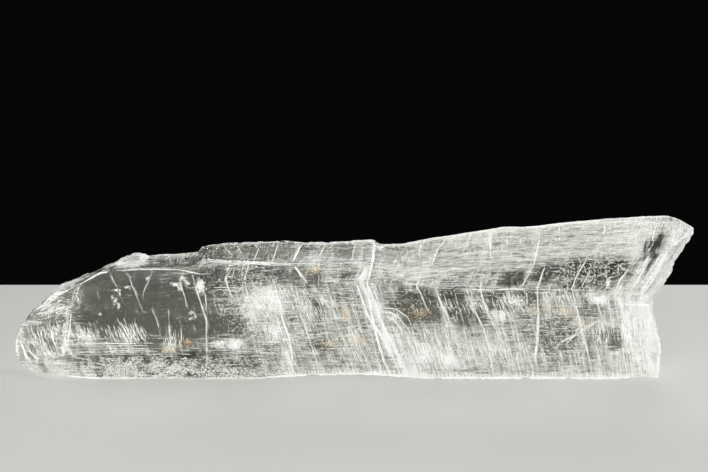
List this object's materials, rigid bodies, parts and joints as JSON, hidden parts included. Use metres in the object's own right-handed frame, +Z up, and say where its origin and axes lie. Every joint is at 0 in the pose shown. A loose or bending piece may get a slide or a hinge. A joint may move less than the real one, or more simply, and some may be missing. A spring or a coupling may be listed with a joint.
{
  "type": "selenite crystal blade",
  "caption": "Long clear selenite (gypsum) blade standing on its narrow side, broken to a wedge at one end and notched like a swallowtail at the other.",
  "frame": {"origin": "under the middle of the blade, on the surface that it stands on", "axes": "+X along the blade towards its notched end, +Z up, -Y out of the broad front cleavage face"},
  "size_m": [0.4503, 0.0484, 0.1046],
  "materials": {
    "clear_gypsum": "clear cleaved gypsum with white inner fibres"
  },
  "bodies": {
    "root": {"selenite_blade": "clear_gypsum"}
  },
  "joints": []
}
